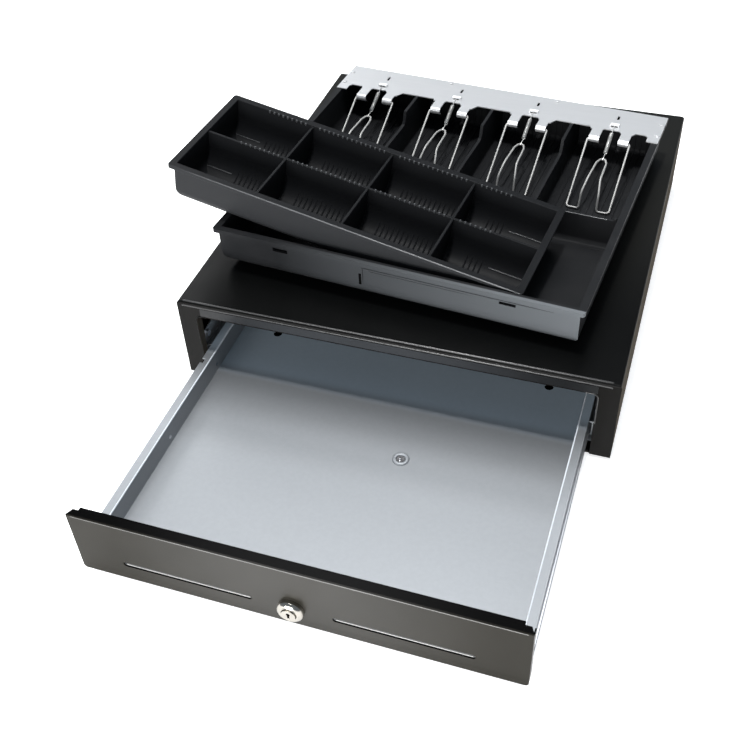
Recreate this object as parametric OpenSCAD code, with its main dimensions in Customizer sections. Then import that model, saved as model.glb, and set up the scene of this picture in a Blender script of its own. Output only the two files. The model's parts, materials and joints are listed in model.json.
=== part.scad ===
// Counter cash drawer: a folded-steel housing with a sliding drawer on ball-bearing rails,
// a lift-out banknote till with sprung wire clips and a loose coin tray.
// Millimetres, Z up, X to the right, Y to the back. The modules are drawn with x = 0 and y = 0 in
// the middle of the housing and z = 0 on the plane the rubber feet stand on; place() then puts the
// origin under the middle of the whole object with its drawer open. The drawer front faces -Y.

/* [Housing] */
// Outside width of the steel housing
housing_w = 410; // [404:1:416]
// Outside depth of the steel housing
housing_d = 450; // [446:1:460]
// Height of the steel housing without its feet
housing_h = 88; // [84:1:96]
// Thickness of the folded sheet
sheet = 1.2; // [1:0.1:1.4]
// Height of the rubber feet
foot_h = 3; // [2:0.5:3]

/* [Drawer] */
// Travel of the drawer between shut and fully open
travel = 241.7; // [200:0.1:245]
// Width of the painted drawer front
front_w = 369; // [364:1:371]
// Height of the painted drawer front
front_h = 67.5; // [64:0.5:69]
// Height of the two document slots
slot_h = 5; // [4:0.5:6]

/* [Till] */
// Width of the till over its rim
till_w = 353.6; // [352:0.2:356]
// Depth of the till over its rim
till_d = 332.8; // [330:0.2:334]
// Height of the till
till_h = 45; // [44:0.5:48]
// How far the till is turned on top of the housing, in degrees
till_turn = 4.6; // [4:0.1:5]

/* [Coin tray] */
// Width of the coin tray over its rim
coin_w = 348; // [346:1:349]
// Depth of the coin tray over its rim
coin_d = 129; // [127:1:130]
// Height of the coin tray
coin_h = 42; // [40:0.5:42]

/* [Wire clips] */
// Thickness of the clip wire
wire = 2.2; // [2:0.1:2.6]

/* [Hidden] */
org = [14.4, 123.65, 0];            // from the middle of the housing to the middle of the whole object
e = 0.01;
hw = housing_w / 2;
hd = housing_d / 2;
zb = foot_h;                    // underside of the housing
zt = foot_h + housing_h;        // top of the housing
op_x = 186.3;                   // half width of the drawer opening
op_z = 76.4;                    // top of the drawer opening
fy = -hd - travel;              // face of the open drawer front
fz = 6.7;                       // lower edge of the drawer front
ty0 = fy + 9.7;                 // front of the drawer tray
ty1 = ty0 + 350;                // back of the drawer tray
tf = 14;                        // top of the drawer tray floor
twx = 173.3;                    // inside of the drawer tray walls
flx = 181.5;                    // outer edge of the tray flanges
flz = 35.5;                     // top of the tray flanges
lock_z = 26.5;                  // height of the lock axis
lkx = 31; lky = ty0 + 169;      // pivot of the lock link
rail_y0 = -hd + 10;
rail_l = 400;
piv_y = 172; piv_z = 30;        // pivot of the latch lever
lift = 18;                      // lift of the latch lever
sol_z = 48;                     // axis of the solenoid
kick_x = -30; kick_z = 22;      // axis of the kicker
till_x = 1.4; till_y = -15.9;
st_x = [-129, -43, 43, 129];    // middle of the four clip stations
pv_y = 109; pv_z = till_h - 2.6;// hinge axis of the clips

module place() { translate(org) children(); }
// rounded rectangle, one radius per corner: lower left, lower right, upper right, upper left
module rr(x0, x1, y0, y1, r) {
  difference() {
    translate([x0, y0]) square([x1 - x0, y1 - y0]);
    if (r[0] > 0) translate([x0, y0]) corner(r[0], 1, 1);
    if (r[1] > 0) translate([x1, y0]) corner(r[1], -1, 1);
    if (r[2] > 0) translate([x1, y1]) corner(r[2], -1, -1);
    if (r[3] > 0) translate([x0, y1]) corner(r[3], 1, -1);
  }
}
// the waste outside a quarter circle at a corner
module corner(r, sx, sy) {
  difference() {
    translate([sx > 0 ? -1 : -r, sy > 0 ? -1 : -r]) square([r + 1, r + 1]);
    translate([sx * r, sy * r]) circle(r = r, $fn = 32);
  }
}
// extrude a profile drawn in (x, z) along y from y0 to y1
module along_y(y0, y1) { translate([0, y1, 0]) rotate([90, 0, 0]) linear_extrude(y1 - y0) children(); }
// extrude a profile drawn in (y, z) along x from x0 to x1
module along_x(x0, x1) { translate([x0, 0, 0]) rotate([90, 0, 90]) linear_extrude(x1 - x0) children(); }
module box(x0, x1, y0, y1, z0, z1) { translate([x0, y0, z0]) cube([x1 - x0, y1 - y0, z1 - z0]); }
module cyl_y(x, z, y0, y1, d, fn = 28) { translate([x, y1, z]) rotate([90, 0, 0]) cylinder(d = d, h = y1 - y0, $fn = fn); }
module cyl_x(y, z, x0, x1, d, fn = 28) { translate([x0, y, z]) rotate([0, 90, 0]) cylinder(d = d, h = x1 - x0, $fn = fn); }
module both() { children(); mirror([1, 0, 0]) children(); }

// ---------- housing ----------
module housing_shell() color([0.13, 0.13, 0.13]) {
  difference() {
    union() {
      difference() {
        intersection() {
          along_y(-hd, hd) rr(-hw, hw, zb, zt, [0, 0, 3, 3]);
          along_x(-hw - 1, hw + 1) rr(-hd, hd, zb, zt, [0, 0, 0, 3]);
        }
        intersection() {
          along_y(-hd + sheet, hd + 1) rr(-hw + sheet, hw - sheet, zb - 1, zt - sheet, [0, 0, 3 - sheet, 3 - sheet]);
          along_x(-hw, hw) rr(-hd + sheet, hd + 2, zb - 1, zt - sheet, [0, 0, 0, 3 - sheet]);
        }
      }
      // folded lip round the drawer opening
      along_y(-hd + 0.5, -hd + 8) rr(-op_x - sheet, op_x + sheet, zb + 1.4, op_z + sheet, [0, 0, 6, 6]);
      // return flanges for the back panel
      both() box(hw - sheet - 12, hw - sheet + 0.5, hd - 2.5, hd - 1.3, zb + 2, zt - 2);
      box(-hw + 2, hw - 2, hd - 2.5, hd - 1.3, zt - 13, zt - sheet + 0.5);
    }
    along_y(-hd - 1, -hd + 9) rr(-op_x, op_x, zb - 1, op_z, [0, 0, 5, 5]);
    both() for (z = [zb + 17, zt - 16]) cyl_y(hw - 8, z, hd - 4, hd, 3.4, 20);
  }
}
module base_plate() color([0.13, 0.13, 0.13]) difference() {
  union() {
    box(-hw + 1.3, hw - 1.3, -hd + 1.3, hd - 2.6, zb, zb + sheet);
    box(-op_x + 1.6, op_x - 1.6, -hd + 1.3, -hd + 1.3 + sheet, zb, zb + 2.8);
    both() box(hw - 1.3 - sheet, hw - 1.3, -hd + 9, hd - 2.6, zb, zb + 9);
  }
  for (x = [-193.5, 193.5], y = [-hd + 15, hd - 15]) translate([x, y, zb - 1]) cylinder(d = 3.4, h = 4, $fn = 20);
  both() for (y = [-180, -60, 60, 170]) translate([195, y, zb - 1]) cylinder(d = 3.4, h = 4, $fn = 20);
  for (p = [[-40, 150], [-40, 212], [46, 150], [46, 212]]) translate([p[0], p[1], zb - 1]) cylinder(d = 3.4, h = 4, $fn = 20);
}
module back_panel() color([0.13, 0.13, 0.13]) difference() {
  box(-hw + 1.3, hw - 1.3, hd - 1.2, hd, zb + 0.1, zt - 3.1);
  box(-67, -53, hd - 3, hd + 1, 24, 36);
  both() for (z = [zb + 17, zt - 16]) cyl_y(hw - 8, z, hd - 4, hd + 1, 3.4, 20);
  // row of vent slots
  for (i = [0:5]) box(60 + i * 14, 68 + i * 14, hd - 3, hd + 1, 44, 47);
}
module rubber_feet() color([0.06, 0.06, 0.06])
  for (x = [-193.5, 193.5], y = [-hd + 15, hd - 15]) translate([x, y, 0]) difference() {
    cylinder(d = 18, h = foot_h, $fn = 32);
    translate([0, 0, -1]) cylinder(d = 7.4, h = foot_h, $fn = 24);
    translate([0, 0, -1]) cylinder(d = 3.4, h = foot_h + 2, $fn = 20);
  }
module foot_screws() color([0.6, 0.6, 0.6])
  for (x = [-193.5, 193.5], y = [-hd + 15, hd - 15]) translate([x, y, 0]) difference() {
    union() {
      translate([0, 0, 0.5]) cylinder(d = 6.6, h = foot_h - 1 - 0.5, $fn = 24);
      translate([0, 0, 1]) cylinder(d = 3, h = foot_h + 2.4, $fn = 20);
    }
    translate([-2, -0.4, 0]) cube([4, 0.8, 0.9]);
  }
module shell_screws() color([0.12, 0.12, 0.12])
  both() for (z = [zb + 17, zt - 16]) difference() {
    union() {
      cyl_y(hw - 8, z, hd, hd + 1.8, 6.4, 24);
      cyl_y(hw - 8, z, hd - 6, hd + 0.5, 3, 20);
    }
    translate([hw - 8 - 2, hd + 1, z - 0.5]) cube([4, 2, 1]);
    translate([hw - 8 - 0.5, hd + 1, z - 2]) cube([1, 2, 4]);
  }
// ---------- rails ----------
module bracket() difference() {
  union() {
    box(187.6, 188.8, rail_y0 - 1, 190, zb + sheet, 50);
    box(187.6, 200, rail_y0 + 16, 190, zb + sheet, zb + sheet + 1.2);
  }
  for (y = [-150, 0, 150]) cyl_x(y, 21.2, 186, 190, 4.2, 20);
  for (y = [rail_y0 + 5, 150]) cyl_x(y, 44, 186, 190, 4.2, 20);
  for (y = [-180, -60, 60, 170]) translate([195, y, zb]) cylinder(d = 3.4, h = 4, $fn = 20);
  for (y = [-110, -35, 40, 100]) box(187, 190, y - 18, y + 18, 28, 42);
}
module rail_bracket_right() color([0.62, 0.64, 0.66]) bracket();
module rail_bracket_left() color([0.62, 0.64, 0.66]) mirror([1, 0, 0]) bracket();
module outer() difference() {
  union() {
    box(186.3, 187.5, rail_y0, rail_y0 + rail_l, 9, 33.5);
    box(178.4, 187, rail_y0, rail_y0 + rail_l, 32.3, 33.5);
    box(178.4, 187, rail_y0, rail_y0 + rail_l, 9, 10.2);
    box(177.6, 178.6, rail_y0, rail_y0 + rail_l, 31.4, 33.5);
    box(177.6, 178.6, rail_y0, rail_y0 + rail_l, 9, 11.1);
  }
  for (y = [-150, 0, 150]) cyl_x(y, 21.2, 185, 190, 4.2, 20);
}
module outer_rail_right() color([0.7, 0.72, 0.74]) outer();
module outer_rail_left() color([0.7, 0.72, 0.74]) mirror([1, 0, 0]) outer();
module rail_screws() color([0.75, 0.76, 0.78]) both() {
  for (y = [-150, 0, 150]) { cyl_x(y, 21.2, 185.3, 186.3, 7, 24); cyl_x(y, 21.2, 185.5, 190.5, 4, 20); cyl_x(y, 21.2, 188.8, 190.4, 7, 24); }
  for (y = [rail_y0 + 5, 150]) { cyl_x(y, 44, 185.4, 187.6, 7, 24); cyl_x(y, 44, 186, 190.5, 4, 20); cyl_x(y, 44, 188.8, 190.4, 7, 24); }
  for (y = [-180, -60, 60, 170]) {
    translate([195, y, zb + sheet + 1.2]) cylinder(d = 6, h = 1.6, $fn = 24);
    translate([195, y, zb + 0.2]) cylinder(d = 3, h = 4, $fn = 20);
  }
}
module cage() {
  box(184.1, 184.9, -210, -90, 12.2, 30.3);
  box(178.9, 184.9, -210, -90, 29.5, 30.3);
  box(178.9, 184.9, -210, -90, 12.2, 13);
  for (y = [-200, -167, -133, -100], z = [29.9, 12.6]) translate([181.4, y, z]) sphere(r = 2.1, $fn = 18);
}
module ball_cage_right() color([0.8, 0.8, 0.8]) cage();
module ball_cage_left() color([0.8, 0.8, 0.8]) mirror([1, 0, 0]) cage();
module inner() difference() {
  union() {
    box(174.6, 175.8, ty0 + 2, ty0 + 382, 15, 27.5);
    box(174.6, 183.2, ty0 + 2, ty0 + 382, 26.3, 27.5);
    box(174.6, 183.2, ty0 + 2, ty0 + 382, 15, 16.2);
  }
  for (y = [30, 130, 230, 330]) cyl_x(ty0 + y, 21.2, 174, 177, 4.2, 20);
}
module inner_rail_right() color([0.7, 0.72, 0.74]) inner();
module inner_rail_left() color([0.7, 0.72, 0.74]) mirror([1, 0, 0]) inner();
// ---------- drawer ----------
module drawer_tray() color([0.72, 0.75, 0.78]) difference() {
  union() {
    box(-twx - 1.2, twx + 1.2, ty0, ty1, tf - 1.2, tf);
    box(-twx - 1.2, twx + 1.2, ty0, ty0 + 1.2, tf - 1.2, 70);
    box(-twx - 1.2, twx + 1.2, ty1 - 1.2, ty1, tf - 1.2, flz);
    both() {
      box(twx, twx + 1.2, ty0, ty1, tf - 1.2, flz);
      box(twx, flx, ty0, ty1, flz - 1.2, flz);
    }
  }
  // document slots, lock hole and the window of the lock link
  for (s = [-1, 1]) box(min(s * 30, s * 147), max(s * 30, s * 147), ty0 - 1, ty0 + 2, 22, 30);
  cyl_y(0, lock_z, ty0 - 1, ty0 + 3, 20, 32);
  box(-15, 14, ty0 + 12, ty0 + 19, tf - 2, tf + 1);
  // pivot hole and the two round holes near the back
  translate([lkx, lky, tf - 2]) cylinder(d = 7.4, h = 3, $fn = 28);
  both() translate([137, ty0 + 294.5, tf - 2]) cylinder(d = 8.5, h = 3, $fn = 28);
  // notch in the left flange
  box(-flx - 1, -flx + 3.5, ty0 + 214, ty0 + 220, flz - 2, flz + 1);
  both() for (y = [30, 130, 230, 330]) cyl_x(ty0 + y, 21.2, twx - 1, twx + 3, 4.2, 20);
  for (x = [-150, -60, 60, 150]) cyl_y(x, 65, ty0 - 1, ty0 + 3, 4.2, 20);
  for (x = [-9, 9]) cyl_y(x, 28, ty1 - 3, ty1 + 1, 4.2, 20);
}
module slot_cut(y0, y1, h, z) for (s = [-1, 1])
  along_y(y0, y1) translate([s * 88.7, z]) rr(-55.6, 55.6, -h / 2, h / 2, [h / 2, h / 2, h / 2, h / 2]);
module drawer_front() color([0.2, 0.2, 0.19]) difference() {
  union() {
    along_y(fy, fy + sheet) rr(-front_w / 2, front_w / 2, fz, fz + front_h, [3, 3, 0.8, 0.8]);
    box(-176.5, 176.5, fy, ty0 - 0.2, fz + front_h - sheet, fz + front_h);
    box(-176.5, 176.5, ty0 - 1.4, ty0 - 0.2, 59, fz + front_h);
    box(-180, 180, fy, fy + 9, fz, fz + sheet);
    both() box(front_w / 2 - sheet, front_w / 2, fy, fy + 8.5, 11, fz + front_h - 4);
  }
  slot_cut(fy - 1, fy + 2, slot_h, 26);
  cyl_y(0, lock_z, fy - 1, fy + 3, 18, 36);
  for (x = [-150, -60, 60, 150]) cyl_y(x, 65, ty0 - 3, ty0 + 1, 4.2, 20);
}
module media_chutes() color([0.72, 0.75, 0.78]) for (s = [-1, 1])
  translate([s * 88.7, 0, 0]) difference() {
    box(-57.8, 57.8, fy + sheet + 0.1, ty0 - 0.1, 21.5, 30.5);
    box(-56.8, 56.8, fy, ty0 + 1, 22.5, 29.5);
  }
module rivet_y(x, z, y0, y1) { cyl_y(x, z, y0, y1, 4, 20); cyl_y(x, z, y0 - 1, y0, 7, 24); cyl_y(x, z, y1, y1 + 1, 7, 24); }
module drawer_rivets() color([0.75, 0.76, 0.78]) {
  for (x = [-150, -60, 60, 150]) rivet_y(x, 65, ty0 - 1.4, ty0 + 1.2);
  for (x = [-9, 9]) rivet_y(x, 28, ty1 - 1.2, ty1 + 1.5);
  both() for (y = [30, 130, 230, 330]) { cyl_x(ty0 + y, 21.2, twx, 176, 4, 20); cyl_x(ty0 + y, 21.2, 175.8, 176.8, 7, 24); }
}
module striker() color([0.7, 0.72, 0.74]) difference() {
  union() {
    box(-14, 14, ty1, ty1 + 1.5, 17, 32);
    box(-6, 6, ty1, ty1 + 17, 24, 25.5);
  }
  box(-3.5, 3.5, ty1 + 6, ty1 + 13, 23, 27);
  for (x = [-9, 9]) cyl_y(x, 28, ty1 - 1, ty1 + 3, 4.2, 20);
}
module lock_body() color([0.85, 0.86, 0.88]) difference() {
  union() {
    cyl_y(0, lock_z, fy - 0.6, ty0 + 10, 17.6, 36);
    // domed bezel
    translate([0, fy, lock_z]) rotate([90, 0, 0]) rotate_extrude($fn = 48) difference() {
      square([12, 7]);
      difference() { translate([6.5, 1.5]) square([6, 6]); translate([6.5, 1.5]) circle(r = 5.5, $fn = 36); }
    }
  }
  cyl_y(0, lock_z, fy - 8, ty0 + 11, 12, 32);
}
module lock_nut() color([0.75, 0.76, 0.78]) translate([0, fy + 6.2, lock_z]) rotate([90, 0, 0]) difference() {
  cylinder(d = 27, h = 4.6, $fn = 6);
  translate([0, 0, -1]) cylinder(d = 17.8, h = 7, $fn = 36);
}
module lock_core() color([0.8, 0.81, 0.83]) {
  difference() {
    cyl_y(0, lock_z, fy - 7.4, ty0 + 10.7, 11.8, 32);
    box(-0.9, 0.9, fy - 9, fy + 2, lock_z - 3.4, lock_z + 3);
    cyl_y(0, lock_z + 1.5, fy - 9, fy + 2, 3, 20);
  }
  cyl_y(0, lock_z, ty0 + 10.6, ty0 + 12.8, 16, 32);
  cyl_y(3.54, lock_z - 3.54, ty0 + 12, ty0 + 20.5, 3, 20);
}
module lock_link() color([0.66, 0.68, 0.7]) difference() {
  union() {
    translate([0, 0, 9.5]) linear_extrude(2) polygon([[-5, ty0 + 13.4], [12, ty0 + 13.4], [38, lky], [24, lky]]);
    box(24, 38, lky - 6, ty1 + 9, 9.5, 11.5);
    translate([lkx, lky, 9.5]) cylinder(d = 20, h = 2, $fn = 36);
    box(-5, 12, ty0 + 13.4, ty0 + 15.4, 9.5, 34);
  }
  translate([lkx, lky, 8]) cylinder(d = 6.2, h = 5, $fn = 28);
  box(1.54, 5.54, ty0 + 12, ty0 + 17, 19.4, 26);
  box(30, 39, ty1 + 1, ty1 + 5.4, 8, 13);
}
module pivot_washer() color([0.6, 0.62, 0.64]) translate([lkx, lky, tf]) rotate_extrude($fn = 40)
  polygon([[3.8, 0], [7.8, 0], [7.6, 0.9], [6.4, 1.6], [5.2, 1.3], [4.4, 0.5], [3.8, 0.4]]);
module pivot_screw() color([0.35, 0.35, 0.36]) translate([lkx, lky, 0]) difference() {
  union() {
    translate([0, 0, tf - 0.9]) cylinder(d = 7, h = 1.6, $fn = 28);
    translate([0, 0, 7.6]) cylinder(d = 5.9, h = tf - 8, $fn = 28);
    translate([0, 0, 7.2]) cylinder(d = 10, h = 1.8, $fn = 28);
  }
  translate([-0.6, -4, tf + 0.2]) cube([1.2, 8, 2]);
}
// ---------- latch, kicker, switch and socket at the back ----------
module latch_bracket() color([0.62, 0.64, 0.66]) difference() {
  union() {
    box(-45, 52, 136, 218, zb + sheet, zb + sheet + 1.5);
    for (x = [-6.2, 4.7]) box(x, x + 1.5, 162, 183, zb + sheet, 40);
    box(-16, 16, 190, 191.5, zb + sheet, 33);
    box(-16, 16, 190, 216, 31.5, 33);
    box(-42, -18, 160, 161.5, zb + sheet, 34);
    box(42, 50, 137, 139, zb + sheet, 16);
  }
  cyl_x(piv_y, piv_z, -8, 8, 4.2, 24);
  cyl_y(kick_x, kick_z, 159, 163, 8.6, 28);
  for (p = [[-40, 150], [-40, 212], [46, 150], [46, 212]]) translate([p[0], p[1], zb]) cylinder(d = 3.4, h = 4, $fn = 20);
}
module latch_screws() color([0.75, 0.76, 0.78])
  for (p = [[-40, 150], [-40, 212], [46, 150], [46, 212]]) translate([p[0], p[1], 0]) {
    translate([0, 0, zb + sheet + 1.5]) cylinder(d = 6, h = 1.6, $fn = 24);
    translate([0, 0, zb + 0.2]) cylinder(d = 3, h = 4, $fn = 20);
  }
module latch_pin() color([0.75, 0.76, 0.78]) { cyl_x(piv_y, piv_z, -7.4, 7.4, 4, 24); cyl_x(piv_y, piv_z, 6.3, 7.8, 7, 24); cyl_x(piv_y, piv_z, -7.8, -6.3, 7, 24); }
module latch_lever() color([0.6, 0.6, 0.62]) translate([0, piv_y, piv_z]) rotate([-lift, 0, 0]) difference() {
  union() {
    along_x(-2, 2) polygon([[5, -5], [5, 6], [2.8, 8], [2.8, 23], [-2.8, 23], [-2.8, 8], [-6, 5], [-30, 5], [-30, -2.5], [-28.8, -7.5], [-25.4, -7.5], [-25.4, -1], [-6, -5]]);
    cyl_x(0, 0, -3.4, 3.4, 10, 28);
  }
  cyl_x(0, 0, -4, 4, 4.2, 24);
  box(-3, 3, -1.75, 1.75, 15.4, 24);
}
module solenoid_frame() color([0.66, 0.68, 0.7]) difference() {
  union() {
    box(-15, 15, 186, 188, 33.1, 63);
    box(-15, 15, 214, 216, 33.1, 63);
    box(-15, 15, 186, 216, 33.1, 35);
  }
  cyl_y(0, sol_z, 185, 189, 9.6, 28);
}
module solenoid_coil() color([0.5, 0.25, 0.12]) difference() {
  union() { cyl_y(0, sol_z, 189.6, 212.4, 23, 36); cyl_y(0, sol_z, 188.1, 189.7, 25.4, 36); cyl_y(0, sol_z, 212.3, 213.9, 25.4, 36); }
  cyl_y(0, sol_z, 187, 212, 9.6, 28);
}
pl_y = piv_y + (sol_z - piv_z) * tan(lift);   // plunger pin with the latch lifted
module solenoid_plunger() color([0.72, 0.73, 0.75]) difference() {
  union() {
    cyl_y(0, sol_z, pl_y - 5, 209, 9, 28);
    cyl_y(0, sol_z, pl_y + 4.4, pl_y + 5.6, 14, 28);
  }
  difference() {
    box(-2.5, 2.5, pl_y - 6, pl_y + 4.2, sol_z - 6, sol_z + 6);
    cyl_x(pl_y, sol_z, -4, 4, 3, 20);
  }
}
module tube_y(x, z, y0, y1, d1, d0) difference() { cyl_y(x, z, y0, y1, d1, 28); cyl_y(x, z, y0 - 1, y1 + 1, d0, 28); }
module plunger_spring() color([0.8, 0.8, 0.8]) tube_y(0, sol_z, pl_y + 5.7, 185.9, 12.6, 10.8);
module kicker_tube() color([0.08, 0.08, 0.08]) difference() {
  union() { cyl_y(kick_x, kick_z, 161.6, 205, 14, 32); box(kick_x - 5, kick_x + 5, 164, 204, zb + sheet + 1.6, kick_z); }
  cyl_y(kick_x, kick_z, 160, 203, 8.2, 28);
}
module kicker_rod() color([0.08, 0.08, 0.08]) {
  cyl_y(kick_x, kick_z, ty1 + travel + 0.3 - 25, ty1 + travel + 3.3 - 25, 13, 28);
  cyl_y(kick_x, kick_z, ty1 + travel + 2 - 25, ty1 + travel + 62 - 25, 8, 28);
}
module kicker_spring() color([0.8, 0.8, 0.8]) tube_y(kick_x, kick_z, ty1 + travel + 3.4 - 25, 159.9, 12.4, 9.4);
module microswitch() color([0.1, 0.1, 0.1]) difference() {
  box(-86, -66, 142, 148.2, zb + sheet, 22);
  box(-78.6, -73.4, 141, 146, 15.4, 18.6);
}
module switch_button() color([0.6, 0.1, 0.1]) box(-78.3, -73.7, ty1 + travel - 1.2, 144, 15.7, 18.3);
module cable_socket() color([0.07, 0.07, 0.07]) difference() {
  union() { box(-66.8, -53.2, hd - 17, hd, 24.2, 35.8); box(-70, -50, hd - 4.3, hd - 1.3, 21, 39); }
  box(-65, -55, hd - 13, hd + 1, 26, 33.4);
  box(-62, -58, hd - 13, hd + 1, 33, 35);
}
module rod(a, b, d) {
  v = b - a; L = norm(v);
  translate(a) rotate([0, acos(v[2] / L), atan2(v[1], v[0])]) cylinder(d = d, h = L, $fn = 16);
}
module socket_lead() color([0.08, 0.08, 0.08])
  flat_wire([[-16.5, 201, 46], [-24, 202, 40], [-44, 203, 33], [-60, hd - 20, 30], [-60, hd - 17.2, 30]], 3);
// ---------- till ----------
module on_top() translate([till_x, till_y, zt]) rotate([0, 0, -till_turn]) children();
tx = till_w / 2; td = till_d / 2;
bx = tx - 4.4; by = td - 4.2;       // outside of the till walls
ix = bx - 2.2; iy = by - 2.4;       // inside of the till walls
module hollow(x0, x1, y0, y1, z0, rl, rr_, rf, rb) intersection() {
  along_y(y0, y1) rr(x0, x1, z0, till_h + 1, [rl, rr_, 0, 0]);
  along_x(x0 - 1, x1 + 1) rr(y0, y1, z0, till_h + 1, [rf, rb, 0, 0]);
}
module till_tray() color([0.07, 0.07, 0.075]) on_top() difference() {
  union() {
    intersection() {
      along_y(-by, by) rr(-bx, bx, 0, till_h, [14, 14, 0, 0]);
      along_x(-bx - 1, bx + 1) rr(-by, by, 0, till_h, [20, 8, 0, 0]);
    }
    translate([0, 0, till_h - 3.8]) linear_extrude(3.8) rr(-tx, tx, -td, td, [3, 3, 3, 3]);
  }
  hollow(-ix, ix, -iy, -14, 3, 11.8, 11.8, 17.6, 6);
  hollow(-ix, -87.5, -11.5, iy, 3, 11.8, 2, 3, 5.6);
  hollow(-84.5, -1.5, -11.5, iy, 3, 2, 2, 3, 5.6);
  hollow(1.5, 84.5, -11.5, iy, 3, 2, 2, 3, 5.6);
  hollow(87.5, ix, -11.5, iy, 3, 2, 11.8, 3, 5.6);
  // low front part of the dividers and the cross wall
  along_x(-ix, ix) polygon([[-14 - e, till_h - 11], [40, till_h - 11.5], [80, till_h - 13], [85, till_h - 12], [88, till_h - 8], [91.5, till_h + 1], [-14 - e, till_h + 1]]);
  // two windows and a slit in the front wall
  for (x = [-109, 109]) box(x - 7.5, x + 7.5, -by - 1, -by + 3.5, till_h - 13.3, till_h - 9.3);
  box(-29.2, -28, -by - 1, -by + 1.4, till_h - 28, till_h - 16);
  for (p = rivet_p) translate([p[0], p[1], till_h - 3.6]) cylinder(d = 2.6, h = 5, $fn = 20);
}
rivet_p = [[-173.2, 151], [-173.2, 128.5], [173.2, 151], [173.2, 128.5], [-60, 162.6], [60, 162.6]];
module clip_plate() color([0.8, 0.81, 0.83]) on_top() difference() {
  union() {
    difference() {
      box(-tx + 0.2, tx - 0.2, pv_y, td, till_h, till_h + 1);
      // plate edge steps back between the hinge tabs
      for (x = st_x) translate([x, 0, till_h - 1]) linear_extrude(3)
        polygon([[-9.75, 100], [-9.75, 122.5], [-8.2, 124.5], [6.8, 124.5], [9.75, 120.5], [9.75, 100]]);
      for (x = [-86, 0, 86]) translate([x, 0, till_h - 1]) linear_extrude(3)
        polygon([[-22.7, 100], [-22.7, 117], [-21, 117.5], [-16.5, 125.5], [19.5, 125.5], [20.5, 122.5], [22.7, 121.5], [22.7, 100]]);
      translate([0, 0, till_h - 1]) linear_extrude(3) polygon([[-165, 100], [-165, 122.5], [-162, 125.5], [-151, 125.5], [-149.3, 122.5], [-149.3, 100]]);
      translate([0, 0, till_h - 1]) linear_extrude(3) polygon([[165, 100], [165, 122.5], [162, 125.5], [153, 125.5], [149.3, 119.5], [149.3, 100]]);
      for (s = [-1, 1]) translate([s * 171, 0, till_h - 1]) linear_extrude(3) translate([-7, 100]) square([14, 14.5]);
    }
    // curled hinge tabs
    for (x = st_x, s = [-15, 15]) difference() {
      cyl_x(pv_y, pv_z, x + s - 5.25, x + s + 5.25, 7.2, 32);
      cyl_x(pv_y, pv_z, x + s - 6, x + s + 6, 5.2, 32);
      box(x + s - 7, x + s + 7, pv_y, pv_y + 5, pv_z - 5, till_h);
    }
    // raised bridges that hold the clip springs
    for (x = st_x) difference() {
      box(x - 4.8, x + 4.8, 131, 135.6, till_h + 0.5, till_h + 2.9);
      box(x - 3.6, x + 3.6, 130, 137, till_h, till_h + 2);
    }
  }
  for (x = st_x) {
    box(x - 3.6, x + 3.6, 131, 135.6, till_h - 1, till_h + 1.2);
    translate([x, 150, till_h - 1]) linear_extrude(3) rr(-1.2, 1.2, -4, 4, [1.2, 1.2, 1.2, 1.2]);
  }
  for (p = rivet_p) translate([p[0], p[1], till_h - 1]) cylinder(d = 2.8, h = 5, $fn = 20);
}
module plate_rivets() color([0.85, 0.86, 0.88]) on_top() for (p = rivet_p) translate([p[0], p[1], 0]) {
  translate([0, 0, till_h + 1]) cylinder(d = 5, h = 1, $fn = 24);
  translate([0, 0, till_h - 3.4]) cylinder(d = 2.4, h = 5, $fn = 20);
}
cb_y = 38; cb_z = 3 + wire / 2 + 0.6;
// wire of eight flat sides; each length runs on a little past its corner to close it
function unit(v) = v / norm(v);
function past(p, i, d) = (i < 1 || i > len(p) - 2) ? 0 : d / 2 * tan(acos(min(1, unit(p[i] - p[i - 1]) * unit(p[i + 1] - p[i]))) / 2);
module flat_wire(p, d) for (i = [0:len(p) - 2]) let (u = unit(p[i + 1] - p[i]), a = p[i] - past(p, i, d) * u, b = p[i + 1] + past(p, i + 1, d) * u)
  translate(a) rotate([0, acos(u[2]), atan2(u[1], u[0])]) rotate([0, 0, 22.5]) cylinder(d = d * 1.04, h = norm(b - a), $fn = 8);
function half_clip(s) = [[s * 10.5, pv_y, pv_z], [s * 19.5, pv_y, pv_z], [s * 21.5, pv_y - 2, pv_z - 1], [s * 21.5, cb_y + 1.9, cb_z + 1], [s * 19.5, cb_y, cb_z], [s * 11, cb_y, cb_z],
  [s * 9, cb_y + 0.5, cb_z + 2], [s * 8.6, 43, 21], [s * 6, 53, 31], [s * 5, 89, 31], [s * 2.6, 91.4, 31]];
module clip(i) color([0.78, 0.78, 0.76]) on_top() translate([st_x[i], 0, 0])
  flat_wire(concat(half_clip(1), [for (k = [10:-1:0]) half_clip(-1)[k]]), wire);
module bill_clip_1() clip(0);
module bill_clip_2() clip(1);
module bill_clip_3() clip(2);
module bill_clip_4() clip(3);
module spring(i) color([0.7, 0.7, 0.7]) on_top() translate([st_x[i], 0, 0]) {
  difference() {
    rod([0, 118, till_h - 1.9], [0, 98.5, till_h - 11], 4.8);
    rod([0, 119, till_h - 1.43], [0, 97.5, till_h - 11.47], 3);
  }
  flat_wire([[0, 134.4, till_h + 1.5], [0, 123.6, till_h + 1.5], [0, 119.2, till_h - 0.4], [1.9, 117.8, till_h - 2]], 0.84);
  flat_wire([[1.95, 98.8, till_h - 10.9], [0, 97.5, till_h - 11.6], [0, 93.2, till_h - 12]], 0.84);
}
module clip_spring_1() spring(0);
module clip_spring_2() spring(1);
module clip_spring_3() spring(2);
module clip_spring_4() spring(3);
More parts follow.
